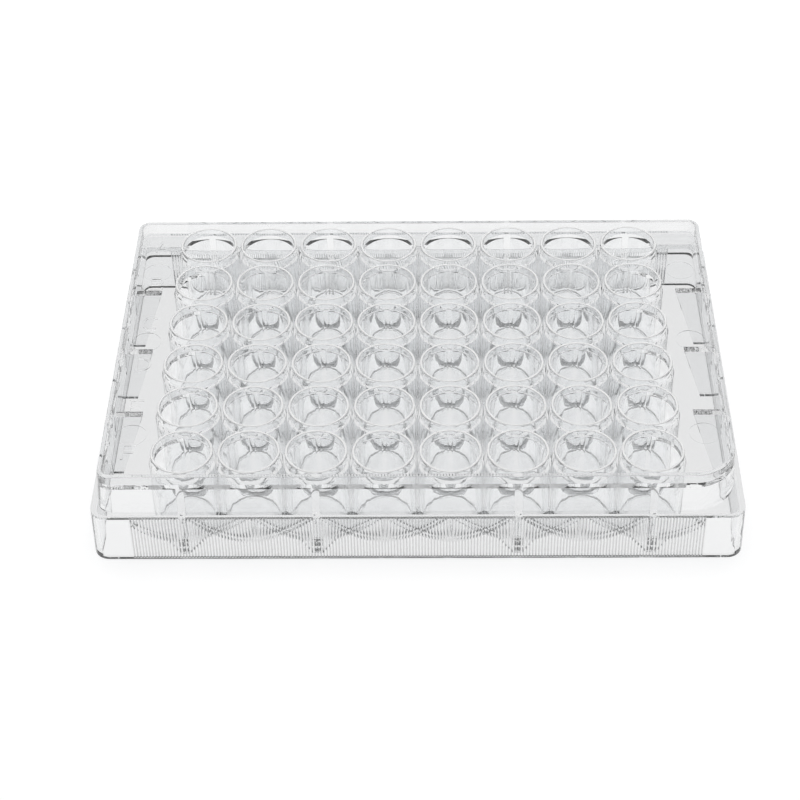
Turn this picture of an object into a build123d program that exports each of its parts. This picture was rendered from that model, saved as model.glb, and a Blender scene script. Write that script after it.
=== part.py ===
from build123d import *
import math
import os

# A clear multiwell plate, moulded in one piece. Millimetres, +Z up.
# The origin is the middle of the footprint, on the surface that the plate stands on.
# X runs along a row of wells, column 1 at -X. Y runs along a column, row A at +Y.

# Footprint and levels
length = 127.76
width = 85.47
height = 20.2  # bench to the top of the lip
ledge_height = 11.35  # the skirt stops here and the narrower upper wall starts
deck_height = 17.7  # top face of the deck that joins the wells
margin_thickness = 1.2  # the deck round the outside of the wells
web_thickness = 0.4  # the deck in the gaps between four wells

# Outer wall
wall = 1.2
skirt_corner = 3.18
skirt_lean = 0.25  # how far the skirt has drawn in by the ledge
ledge_width = 1.45
upper_lean = 0.6  # how far the upper wall draws in from the ledge to the lip
plain_corner = 2.4  # plan radius of the lip at three corners
key_corner = 8.5  # plan radius at the front right corner, which tells the plate's way round
lip_top_width = 0.85
lip_root_width = 1.1
lip_rounding = 0.2

# Wells
columns = 8
rows = 6
well_pitch = 13.08
well_depth = 17.1
well_radius = 5.56
well_floor_thickness = 1.3
well_floor_rounding = 0.85  # between the floor and the side of a well
rounding_steps = 4
rim_height = 19.7
rim_radius = 6.12
rim_root_radius = 6.14
rim_chamfer = 0.16  # takes the sharpness off both edges of the rim
tube_radius = 6.56  # outside of a well under the deck, where neighbours just run together
tube_base_chamfer = 0.2

# Grip ridges on the front and back of the skirt
ridge_pitch = 0.602
ridge_depth = 0.24
ridge_land = 0.08  # flat left on each crest
ridge_zone = 112.2
ridge_margin = 0.3  # plain band above and below the ridges

# Ribs under the deck
rib_top_thickness = 1.6
rib_foot_thickness = 1.2
end_rib_foot = 0.8  # height of the lower end of the front and back ribs
end_rib_columns = (1, 3, 6, 8)
gusset_spacing = 19.2
gusset_reach = 55.0  # distance from the middle of the plate to a gusset's inner top corner
gusset_slope = 0.345  # how far a gusset draws back for each millimetre down
gusset_feet = {1: 2.0, 0: 4.0, -1: 0.6}  # back, middle and front gusset

# Row letters and ejector marks on the side margins of the deck
letter_width = 2.7
letter_height = 4.0
letter_stroke = 0.42
letter_relief = 0.15
letter_x = -57.7  # left edge of the letters
letter_rise = 1.75  # how far a letter sits behind the middle of its row
mark_radius = 3.0
mark_depth = 0.12
mark_x = 56.6
mark_rows = (26.2, 3.0, -25.4)

half_x = length / 2
half_y = width / 2
foot_inset = skirt_lean + ledge_width
deck_underside = deck_height - margin_thickness
cavity_step = ledge_height - wall
well_floor = rim_height - well_depth
tube_base = well_floor - well_floor_thickness
overlap = 0.05  # how far joined forms run into each other
overrun = 1.0  # how far a cut runs past a face

# Plan radii at the footprint, in the order front left, front right, back right, back left
lip_inset = foot_inset + upper_lean
skirt_corners = [skirt_corner] * 4
upper_corners = [plain_corner + lip_inset] * 4
upper_corners[1] = key_corner + lip_inset


def skirt_inset(z):
    return skirt_lean * z / ledge_height


def upper_inset(z):
    return foot_inset + upper_lean * (z - ledge_height) / (height - ledge_height)


def plan(inset, corners):
    """Rounded rectangle that lies inset within the footprint all the way round."""
    x = half_x - inset
    y = half_y - inset
    radii = [corner - inset for corner in corners]
    outline = FilletPolyline((-x, -y), (x, -y), (x, y), (-x, y), radius=radii, close=True)
    return make_face(outline)


def tapered_block(low, low_inset, high, high_inset, corners):
    """Block between two heights whose sides lean evenly from one inset to the other."""
    ends = [Pos(0, 0, low) * plan(low_inset, corners), Pos(0, 0, high) * plan(high_inset, corners)]
    return loft(ends, ruled=True)


def envelope():
    """Outside of the plate, solid, with the stepped wall and the rounded lip."""
    skirt = tapered_block(0, 0, ledge_height, skirt_inset(ledge_height), skirt_corners)
    upper = tapered_block(ledge_height, foot_inset, height, lip_inset, upper_corners)
    pocket_root = upper_inset(deck_height) + lip_root_width
    pocket_mouth = lip_inset + lip_top_width
    upper -= tapered_block(deck_height, pocket_root, height, pocket_mouth, upper_corners)
    lip_edges = upper.edges().filter_by_position(Axis.Z, height - overlap, height + overlap)
    return skirt + fillet(lip_edges, lip_rounding)


def cavity():
    """Space under the deck, inside the stepped wall."""
    low = tapered_block(0, wall, cavity_step, wall + skirt_inset(cavity_step), skirt_corners)
    upper_low = wall + upper_inset(cavity_step)
    upper_high = wall + upper_inset(deck_underside)
    return low + tapered_block(cavity_step, upper_low, deck_underside, upper_high, upper_corners)


def rib_thickness(z):
    return rib_foot_thickness + (rib_top_thickness - rib_foot_thickness) * z / deck_underside


def drafted_rib(foot, reach_foot, reach_top, outer):
    """Rib along +X from its reach to outer, hanging from the deck down to its foot."""
    sections = []
    for z, reach in ((foot, reach_foot), (deck_underside + overlap, reach_top)):
        section = Rectangle(outer - reach, rib_thickness(z), align=(Align.MIN, Align.CENTER))
        sections.append(Pos(reach, 0, z) * section)
    return loft(sections, ruled=True)


def ribs():
    """Gussets at the two ends, and ribs that tie the outer rows to the front and back walls."""
    parts = []
    for place, foot in gusset_feet.items():
        reach = gusset_reach + gusset_slope * (deck_underside - foot)
        gusset = Pos(0, place * gusset_spacing, 0) * drafted_rib(foot, reach, gusset_reach, half_x)
        parts += [gusset, mirror(gusset, about=Plane.YZ)]
    seat = well_y(0) + (tube_radius + well_radius) / 2
    for column in end_rib_columns:
        rib = Rot(0, 0, 90) * drafted_rib(end_rib_foot, seat, seat, half_y)
        rib = Pos(well_x(column - 1), 0, 0) * rib
        parts += [rib, mirror(rib, about=Plane.XZ)]
    return parts


def well_x(column):
    return (column - (columns - 1) / 2) * well_pitch


def well_y(row):
    return ((rows - 1) / 2 - row) * well_pitch


def well_places():
    return [Pos(well_x(column), well_y(row), 0) for column in range(columns) for row in range(rows)]


def floor_rounding():
    """Points of the quarter round from the side of a well down to its floor."""
    points = []
    for step in range(rounding_steps + 1):
        turn = math.radians(90 * step / rounding_steps)
        r = well_radius - well_floor_rounding * (1 - math.cos(turn))
        z = well_floor + well_floor_rounding * (1 - math.sin(turn))
        points.append((r, z))
    return points


def cup():
    """One well: floor, tube under the deck and a thinner rim above it."""
    shoulder = deck_height - web_thickness / 2
    section = Polyline(
        (0, tube_base),
        (tube_radius - tube_base_chamfer, tube_base),
        (tube_radius, tube_base + tube_base_chamfer),
        (tube_radius, shoulder),
        (rim_root_radius, shoulder),
        (rim_radius, rim_height - rim_chamfer),
        (rim_radius - rim_chamfer, rim_height),
        (well_radius + rim_chamfer, rim_height),
        (well_radius, rim_height - rim_chamfer),
        *floor_rounding(),
        (0, well_floor),
        close=True,
    )
    return revolve(Plane.XZ * make_face(section), Axis.Z)


def web_pocket():
    """Thins the deck between the wells, from the middle of the outer wells inwards."""
    x = (columns - 1) * well_pitch
    y = (rows - 1) * well_pitch
    depth = margin_thickness - web_thickness
    pocket = Box(x, y, depth + overlap, align=(Align.CENTER, Align.CENTER, Align.MIN))
    return Pos(0, 0, deck_underside - overlap) * pocket


def ridge_cutter():
    """Comb that leaves vertical ridges on the front of the skirt."""
    count = round(ridge_zone / ridge_pitch)
    side_slope = (ridge_pitch - ridge_land) / 2 / ridge_depth
    proud = ridge_land / 2 / side_slope
    start = -count * ridge_pitch / 2
    points = [(start, -half_y - overrun)]
    for i in range(count):
        crest = start + i * ridge_pitch
        points.append((crest, -half_y - proud))
        points.append((crest + ridge_pitch / 2, -half_y + ridge_depth))
    points.append((-start, -half_y - proud))
    points.append((-start, -half_y - overrun))
    comb = Pos(0, skirt_inset(ridge_margin), ridge_margin) * make_face(Polyline(*points, close=True))
    rise = ledge_height - 2 * ridge_margin
    return extrude(comb, rise, dir=(0, skirt_inset(rise), rise))


def letter_strokes(letter):
    """Centre lines of a plain capital, in a box letter_width by letter_height."""
    w = letter_width
    h = letter_height
    bar = [Line((0, h), (w, h)), Line((0, h / 2), (0.8 * w, h / 2)), Line((0, 0), (w, 0))]
    stem = Line((0, 0), (0, h))
    bend = h / 4
    if letter == "A":
        foot = 0.2 * w
        return [
            Line((0, 0), (w / 2, h)),
            Line((w / 2, h), (w, 0)),
            Line((foot, h / 3), (w - foot, h / 3)),
        ]
    if letter == "B":
        bows = []
        for low in (0, h / 2):
            bows += [Line((0, low), (w - bend, low)), Line((0, low + h / 2), (w - bend, low + h / 2))]
            bows.append(CenterArc((w - bend, low + bend), bend, -90, 180))
        return [stem] + bows
    if letter == "C":
        return [EllipticalCenterArc((w / 2 + 0.2, h / 2), w / 2 + 0.2, h / 2, 45, arc_size=270)]
    if letter == "D":
        return [stem, EllipticalCenterArc((0, h / 2), w, h / 2, -90, arc_size=180)]
    if letter == "E":
        return [stem] + bar
    return [stem] + bar[:2]


def row_letters():
    """Raised row letters on the left margin of the deck."""
    raised = []
    for row in range(rows):
        place = Pos(letter_x, well_y(row) + letter_rise - letter_height / 2, deck_height - overlap)
        strokes = [trace(stroke, letter_stroke) for stroke in letter_strokes("ABCDEF"[row])]
        face = strokes[0].fuse(*strokes[1:]) if len(strokes) > 1 else strokes[0]
        raised.append(extrude(place * face, letter_relief + overlap))
    return raised


def ejector_marks():
    """Shallow round marks on the underside of the deck's margins."""
    disc = Cylinder(mark_radius, mark_depth + overlap, align=(Align.CENTER, Align.CENTER, Align.MIN))
    disc = Pos(0, 0, deck_underside - overlap) * disc
    return [Pos(side * mark_x, y, 0) * disc for side in (-1, 1) for y in mark_rows]


def well_plate():
    space = cavity() + web_pocket() + ejector_marks()
    space -= ribs()
    body = envelope() - space
    core_radius = (well_radius + rim_radius) / 2
    core = Cylinder(core_radius, height, align=(Align.CENTER, Align.CENTER, Align.MIN))
    body -= [place * core for place in well_places()]
    cutter = ridge_cutter()
    body -= [cutter, mirror(cutter, about=Plane.XZ)]
    body += [place * cup() for place in well_places()]
    return body + row_letters()


os.makedirs("parts", exist_ok=True)
plate = well_plate()
plate.label = "well_plate"
export_step(plate, "parts/well_plate.step")
print("solids", len(plate.solids()), "faces", len(plate.faces()), "volume", round(plate.volume, 1))
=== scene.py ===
import bmesh
import bpy
import math
from mathutils import Matrix, Vector


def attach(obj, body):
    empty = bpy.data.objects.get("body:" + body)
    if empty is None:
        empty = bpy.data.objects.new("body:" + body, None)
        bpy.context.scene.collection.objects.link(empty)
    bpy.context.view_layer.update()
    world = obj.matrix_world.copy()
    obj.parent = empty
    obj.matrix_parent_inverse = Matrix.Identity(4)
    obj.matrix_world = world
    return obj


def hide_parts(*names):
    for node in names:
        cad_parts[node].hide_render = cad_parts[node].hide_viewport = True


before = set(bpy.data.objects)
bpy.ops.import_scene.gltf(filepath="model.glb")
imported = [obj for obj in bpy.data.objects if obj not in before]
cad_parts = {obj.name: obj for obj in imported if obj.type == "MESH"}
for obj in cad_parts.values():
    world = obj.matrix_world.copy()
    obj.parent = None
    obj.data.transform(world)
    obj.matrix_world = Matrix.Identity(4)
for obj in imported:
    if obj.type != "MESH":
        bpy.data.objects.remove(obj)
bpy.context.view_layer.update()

# Camera, in metres and degrees about the plate's frame
CAMERA_TARGET = Vector((-0.001934, -0.000897, 0.010))
CAMERA_DISTANCE = 0.41868
CAMERA_AZIMUTH = 1.089
CAMERA_ELEVATION = 41.52
CAMERA_ROLL = -0.97
LENS_MM = 90.1
SENSOR_MM = 36.0
SHIFT = (-0.0111, -0.0260)  # in sensor widths
CLIP_START = 0.01

# Mesh of the moulding
PLASTIC_NODE = "well_plate"
WELD_DISTANCE = 1e-6
SHARP_ANGLE = math.radians(50)
LARGE_FACE_WEIGHT = 100  # how strongly the large faces rule the shading at a corner

# Clear polystyrene
PLASTIC_IOR = 1.59
TINT_DEEP = (0.965, 0.971, 0.976, 1.0)
TINT_CLEAR = (0.982, 0.986, 0.989, 1.0)
TINT_PATCHES = 90.0  # noise scale of the faint cloudiness, per metre
TINT_DETAIL = 3.0
POLISH = (0.0, 0.006)  # roughness range of the polished faces
WAVE_SCALE = 120.0  # noise scale of the slow waves in the surface, per metre
WAVE_DETAIL = 2.0
WAVE_DEPTH = 0.000002
WAVE_STRENGTH = 0.25
SHADOW_TINT = (0.94, 0.942, 0.945, 1.0)  # light left after each face that a shadow ray crosses

# Painted highlight on the rim tops and painted shade on the gussets and grooves, in metres about the
# plate's origin
MASK_EDGE = 0.00005  # width of a mask's soft edge
UPWARD = 0.5  # least upward part of the normal of a face that counts as a top
RIM_LEVEL = 0.01962  # just under the tops of the rims
RIM_BAND = 0.00012  # up and down from there
# painted highlight: a white diffuse share on the rim tops stands in for the glints on the rounded rims
RIM_HIGHLIGHT_SHARE = 0.75
RIM_HIGHLIGHT_WHITE = 0.95
GUSSET_SPACING = 0.0192
GUSSET_BAND = 0.0009
GUSSET_X = 0.0583
GUSSET_REACH = 0.0035
GUSSET_ROW_REACH = 1.25 * GUSSET_SPACING  # takes in the three gussets at an end and no more
GUSSET_FOOT_TO_DECK = 0.0164
GUSSET_SHADE_SHARE = 0.16  # of the painted shade in the grooves
RIDGE_PITCH = 0.000602
RIDGE_ZONE = 0.1122
RIDGE_Y = 0.0427
RIDGE_BAND = 0.00055
RIDGE_LEVEL = 0.0057
RIDGE_HEIGHT = 0.0107
# painted shade: a grey diffuse share in the grooves between the ridges, and a smaller one on the
# gussets
PAINTED_SHADE_SHARE = 0.33
PAINTED_SHADE_GREY = 0.4

# Floor, in metres and levels of grey and glow
FLOOR_SIZE = 4.0
FLOOR_DROP = 0.0001  # below the plate's feet, so that the two never coincide
FLOOR_GREY = 0.86
FLOOR_GREY_THROUGH = 0.15  # where the floor is seen through the plastic
GLOW_DIRECT = 0.25  # added to the floor where the camera sees it directly
GLOW_THROUGH = 0.79  # and where it is seen through the plastic
WHITENING_START = 0.25  # from here outwards the direct glow rises
WHITENING_END = 1.0  # and from here on the floor is evenly white

# Sky, as levels of grey, with the stops at which they change over
SKY_TOP = 0.3
SKY_FRONT = 0.2
SKY_BACK = 0.03
SKY_TURN = (0.2, 0.75)  # 0 in front, 1 behind the plate
SKY_RISE = (0.70, 0.95)  # 0 at the horizon, 1 overhead
BACKDROP = 1.0

# Softbox, in metres and watts
SOFTBOX_PLACE = (0.0, 0.2, 0.9)
SOFTBOX_SIZE = 0.8
SOFTBOX_WATTS = 8.4

# Light paths
BOUNCES = 200


def link(tree, a, b):
    tree.links.new(a, b)


def smooth_plate(node):
    """The CAD solid as one welded mesh, shaded round where the moulding is round."""
    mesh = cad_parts[node].data.copy()
    shape = bmesh.new()
    shape.from_mesh(mesh)
    bmesh.ops.remove_doubles(shape, verts=shape.verts, dist=WELD_DISTANCE)
    for face in shape.faces:
        face.smooth = True
    for edge in shape.edges:
        edge.smooth = len(edge.link_faces) == 2 and edge.calc_face_angle() < SHARP_ANGLE
    shape.to_mesh(mesh)
    shape.free()
    if "custom_normal" in mesh.attributes:
        mesh.attributes.remove(mesh.attributes["custom_normal"])
    draft = bpy.data.objects.new("draft", mesh)
    bpy.context.scene.collection.objects.link(draft)
    weighted = draft.modifiers.new("normals", "WEIGHTED_NORMAL")
    weighted.mode = "FACE_AREA"
    weighted.weight = LARGE_FACE_WEIGHT
    weighted.keep_sharp = True
    ready = draft.evaluated_get(bpy.context.evaluated_depsgraph_get())
    piece = bpy.data.objects.new("moulding", bpy.data.meshes.new_from_object(ready))
    bpy.data.objects.remove(draft)
    bpy.context.scene.collection.objects.link(piece)
    piece.data.materials.clear()
    piece.data.materials.append(plastic())
    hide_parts(node)
    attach(piece, "root")
    return piece


def add_camera():
    """Camera on a sphere round its target, turned a little about its own view axis."""
    azimuth = math.radians(CAMERA_AZIMUTH)
    elevation = math.radians(CAMERA_ELEVATION)
    roll = math.radians(CAMERA_ROLL)
    back = Vector((
        math.sin(azimuth) * math.cos(elevation),
        -math.cos(azimuth) * math.cos(elevation),
        math.sin(elevation),
    ))
    level = (-back).cross(Vector((0, 0, 1))).normalized()
    upright = level.cross(-back)
    right = level * math.cos(roll) + upright * math.sin(roll)
    up = upright * math.cos(roll) - level * math.sin(roll)
    data = bpy.data.cameras.new("camera")
    data.lens = LENS_MM
    data.sensor_width = SENSOR_MM
    data.shift_x, data.shift_y = SHIFT
    data.clip_start = CLIP_START
    camera = bpy.data.objects.new("camera", data)
    turn = Matrix((right, up, back)).transposed().to_4x4()
    camera.matrix_world = Matrix.Translation(CAMERA_TARGET + back * CAMERA_DISTANCE) @ turn
    bpy.context.scene.collection.objects.link(camera)
    bpy.context.scene.camera = camera


def calc(tree, operation, *values):
    """Result of a Math node fed by numbers and sockets."""
    node = tree.nodes.new("ShaderNodeMath")
    node.operation = operation
    for socket, value in zip(node.inputs, values):
        if isinstance(value, (int, float)):
            socket.default_value = value
        else:
            link(tree, value, socket)
    return node.outputs[0]


def product(tree, *factors):
    total = factors[0]
    for factor in factors[1:]:
        total = calc(tree, "MULTIPLY", total, factor)
    return total


def within(tree, value, middle, reach):
    """1 where value lies within reach of middle, 0 elsewhere, with a short fade."""
    away = calc(tree, "ABSOLUTE", calc(tree, "SUBTRACT", value, middle))
    inside = calc(tree, "SUBTRACT", reach, away)
    rise = calc(tree, "DIVIDE", inside, MASK_EDGE)
    return calc(tree, "MINIMUM", calc(tree, "MAXIMUM", rise, 0.0), 1.0)


def split(tree, vector):
    node = tree.nodes.new("ShaderNodeSeparateXYZ")
    link(tree, vector, node.inputs[0])
    return node.outputs


def rim_highlight_mask(tree, z, lean):
    """Top faces of the rims round the wells, where a white highlight is painted."""
    return product(tree, within(tree, z, RIM_LEVEL, RIM_BAND), calc(tree, "GREATER_THAN", lean, UPWARD))


def gusset_shade_mask(tree, x, y, z):
    """The gussets at both ends, one spacing apart, where painted shade is laid."""
    nearest = calc(tree, "WRAP", y, GUSSET_SPACING / 2, -GUSSET_SPACING / 2)
    return product(
        tree,
        within(tree, nearest, 0.0, GUSSET_BAND),
        within(tree, calc(tree, "ABSOLUTE", x), GUSSET_X, GUSSET_REACH),
        within(tree, z, GUSSET_FOOT_TO_DECK / 2, GUSSET_FOOT_TO_DECK / 2),
        within(tree, y, 0.0, GUSSET_ROW_REACH),
    )


def groove_shade_mask(tree, x, y, z):
    """Painted shade in the grooves between the ridges on the front and back, strongest midway between
    two crests.
    """
    wave = calc(tree, "COSINE", calc(tree, "MULTIPLY", x, 2 * math.pi / RIDGE_PITCH))
    return product(
        tree,
        within(tree, calc(tree, "ABSOLUTE", y), RIDGE_Y, RIDGE_BAND),
        within(tree, z, RIDGE_LEVEL, RIDGE_HEIGHT / 2),
        within(tree, x, 0.0, RIDGE_ZONE / 2),
        calc(tree, "MULTIPLY_ADD", wave, -0.5, 0.5),
    )


def highlight_and_shade_masks(tree, place):
    """Where the rim tops get a painted highlight, and the gussets and grooves painted shade, on faces
    seen from outside.
    """
    x, y, z = split(tree, place.outputs["Object"])
    rim = rim_highlight_mask(tree, z, split(tree, place.outputs["Normal"])["Z"])
    gusset = calc(tree, "MULTIPLY", gusset_shade_mask(tree, x, y, z), GUSSET_SHADE_SHARE)
    painted_shade = calc(tree, "MAXIMUM", gusset, groove_shade_mask(tree, x, y, z))
    side = tree.nodes.new("ShaderNodeNewGeometry")
    outside = calc(tree, "SUBTRACT", 1.0, side.outputs["Backfacing"])
    return calc(tree, "MULTIPLY", rim, outside), calc(tree, "MULTIPLY", painted_shade, outside)


def noise(tree, place, scale, detail):
    texture = tree.nodes.new("ShaderNodeTexNoise")
    texture.inputs["Scale"].default_value = scale
    texture.inputs["Detail"].default_value = detail
    link(tree, place.outputs["Object"], texture.inputs["Vector"])
    return texture.outputs[0]


def polished(tree, place):
    """The clear plastic itself, faintly cloudy and with slow waves in its surface."""
    glass = tree.nodes.new("ShaderNodeBsdfPrincipled")
    cloud = noise(tree, place, TINT_PATCHES, TINT_DETAIL)
    tint = tree.nodes.new("ShaderNodeValToRGB")
    tint.color_ramp.elements[0].color = TINT_DEEP
    tint.color_ramp.elements[1].color = TINT_CLEAR
    link(tree, cloud, tint.inputs[0])
    link(tree, tint.outputs[0], glass.inputs["Base Color"])
    roughness = calc(tree, "MULTIPLY_ADD", cloud, POLISH[1] - POLISH[0], POLISH[0])
    link(tree, roughness, glass.inputs["Roughness"])
    waves = tree.nodes.new("ShaderNodeBump")
    waves.inputs["Strength"].default_value = WAVE_STRENGTH
    waves.inputs["Distance"].default_value = WAVE_DEPTH
    link(tree, noise(tree, place, WAVE_SCALE, WAVE_DETAIL), waves.inputs["Height"])
    link(tree, waves.outputs[0], glass.inputs["Normal"])
    glass.inputs["IOR"].default_value = PLASTIC_IOR
    glass.inputs["Transmission Weight"].default_value = 1.0
    return glass.outputs[0]


def mixed(tree, share, first, second):
    """The first shader, with a share of the second in its place."""
    blend = tree.nodes.new("ShaderNodeMixShader")
    link(tree, share, blend.inputs[0])
    link(tree, first, blend.inputs[1])
    link(tree, second, blend.inputs[2])
    return blend.outputs[0]


def plastic():
    """Clear polystyrene with a painted highlight on the rim tops and painted shade on the gussets and
    grooves, plainly transparent to shadow and diffuse rays.
    """
    material = bpy.data.materials.new("clear_polystyrene")
    material.use_nodes = True
    tree = material.node_tree
    tree.nodes.clear()
    place = tree.nodes.new("ShaderNodeTexCoord")
    surface = polished(tree, place)
    rim, painted_shade = highlight_and_shade_masks(tree, place)
    # grey painted shade on the gussets and grooves, then a white painted highlight on the rim tops
    for mask, strength, level in ((painted_shade, PAINTED_SHADE_SHARE, PAINTED_SHADE_GREY), (rim, RIM_HIGHLIGHT_SHARE, RIM_HIGHLIGHT_WHITE)):
        painted_light = tree.nodes.new("ShaderNodeBsdfDiffuse")
        painted_light.inputs["Color"].default_value = (level, level, level, 1.0)
        share = calc(tree, "MULTIPLY", mask, strength)
        surface = mixed(tree, share, surface, painted_light.outputs[0])
    clear = tree.nodes.new("ShaderNodeBsdfTransparent")
    clear.inputs["Color"].default_value = SHADOW_TINT
    path = tree.nodes.new("ShaderNodeLightPath")
    lighting = calc(tree, "MAXIMUM", path.outputs["Is Shadow Ray"], path.outputs["Is Diffuse Ray"])
    out = tree.nodes.new("ShaderNodeOutputMaterial")
    link(tree, mixed(tree, lighting, surface, clear.outputs[0]), out.inputs["Surface"])
    return material


def floor_glow(tree, path):
    """White that the floor adds for the camera, directly and through the plastic."""
    glow = tree.nodes.new("ShaderNodeEmission")
    place = tree.nodes.new("ShaderNodeTexCoord")
    away = tree.nodes.new("ShaderNodeVectorMath")
    away.operation = "LENGTH"
    link(tree, place.outputs["Object"], away.inputs[0])
    whitening = tree.nodes.new("ShaderNodeMapRange")
    whitening.inputs["From Min"].default_value = WHITENING_START
    whitening.inputs["From Max"].default_value = WHITENING_END
    whitening.inputs["To Min"].default_value = GLOW_DIRECT
    link(tree, away.outputs["Value"], whitening.inputs["Value"])
    direct = calc(tree, "MULTIPLY", path.outputs["Is Camera Ray"], whitening.outputs["Result"])
    through = path.outputs["Is Transmission Ray"]
    strength = calc(tree, "MULTIPLY_ADD", through, GLOW_THROUGH, direct)
    link(tree, strength, glow.inputs["Strength"])
    return glow.outputs[0]


def floor_white():
    material = bpy.data.materials.new("floor_white")
    material.use_nodes = True
    tree = material.node_tree
    tree.nodes.clear()
    path = tree.nodes.new("ShaderNodeLightPath")
    grey = tree.nodes.new("ShaderNodeMix")
    grey.inputs["A"].default_value = FLOOR_GREY
    grey.inputs["B"].default_value = FLOOR_GREY_THROUGH
    link(tree, path.outputs["Is Transmission Ray"], grey.inputs["Factor"])
    matte = tree.nodes.new("ShaderNodeBsdfDiffuse")
    link(tree, grey.outputs["Result"], matte.inputs["Color"])
    total = tree.nodes.new("ShaderNodeAddShader")
    link(tree, matte.outputs[0], total.inputs[0])
    link(tree, floor_glow(tree, path), total.inputs[1])
    out = tree.nodes.new("ShaderNodeOutputMaterial")
    link(tree, total.outputs[0], out.inputs["Surface"])
    return material


def add_floor():
    bpy.ops.mesh.primitive_plane_add(size=FLOOR_SIZE, location=(0, 0, -FLOOR_DROP))
    floor = bpy.context.object
    floor.name = "floor"
    floor.data.materials.append(floor_white())


def grey_ramp(tree, value, positions, levels):
    """Eased change from one level of grey to another between two positions of a value."""
    ramp = tree.nodes.new("ShaderNodeValToRGB")
    ramp.color_ramp.interpolation = "EASE"
    for element, position, level in zip(ramp.color_ramp.elements, positions, levels):
        element.position = position
        element.color = (level, level, level, 1)
    link(tree, value, ramp.inputs[0])
    return ramp.outputs[0]


def add_world():
    """A light tent: brighter overhead and in front, dim low down behind, and white to the camera."""
    world = bpy.data.worlds.new("studio")
    bpy.context.scene.world = world
    world.use_nodes = True
    tree = world.node_tree
    coordinates = tree.nodes.new("ShaderNodeTexCoord")
    direction = split(tree, coordinates.outputs["Generated"])
    backward = tree.nodes.new("ShaderNodeMapRange")
    backward.inputs["From Min"].default_value = -1.0
    link(tree, direction["Y"], backward.inputs["Value"])
    sky = tree.nodes.new("ShaderNodeMix")
    link(tree, grey_ramp(tree, direction["Z"], SKY_RISE, (0.0, 1.0)), sky.inputs["Factor"])
    sides = grey_ramp(tree, backward.outputs["Result"], SKY_TURN, (SKY_FRONT, SKY_BACK))
    link(tree, sides, sky.inputs["A"])
    sky.inputs["B"].default_value = SKY_TOP
    path = tree.nodes.new("ShaderNodeLightPath")
    seen = tree.nodes.new("ShaderNodeMix")
    link(tree, path.outputs["Is Camera Ray"], seen.inputs["Factor"])
    link(tree, sky.outputs["Result"], seen.inputs["A"])
    seen.inputs["B"].default_value = BACKDROP
    link(tree, seen.outputs["Result"], tree.nodes["Background"].inputs["Color"])


def add_softbox():
    """Soft light from above and a little behind, seen neither in the plastic nor through it."""
    data = bpy.data.lights.new("softbox", "AREA")
    data.shape = "RECTANGLE"
    data.size = SOFTBOX_SIZE
    data.size_y = SOFTBOX_SIZE
    data.energy = SOFTBOX_WATTS
    lamp = bpy.data.objects.new("softbox", data)
    lamp.location = SOFTBOX_PLACE
    lamp.visible_glossy = False
    lamp.visible_transmission = False
    towards_plate = Vector((0, 0, 0)) - lamp.location
    lamp.rotation_euler = towards_plate.to_track_quat("-Z", "Y").to_euler()
    bpy.context.scene.collection.objects.link(lamp)


def set_paths():
    """Enough bounces for light to cross many walls, and colours shown as written."""
    scene = bpy.context.scene
    scene.view_settings.view_transform = "Standard"
    scene.cycles.max_bounces = BOUNCES
    scene.cycles.transmission_bounces = BOUNCES
    scene.cycles.glossy_bounces = BOUNCES
    scene.cycles.transparent_max_bounces = BOUNCES


smooth_plate(PLASTIC_NODE)
add_camera()
add_floor()
add_world()
add_softbox()
set_paths()
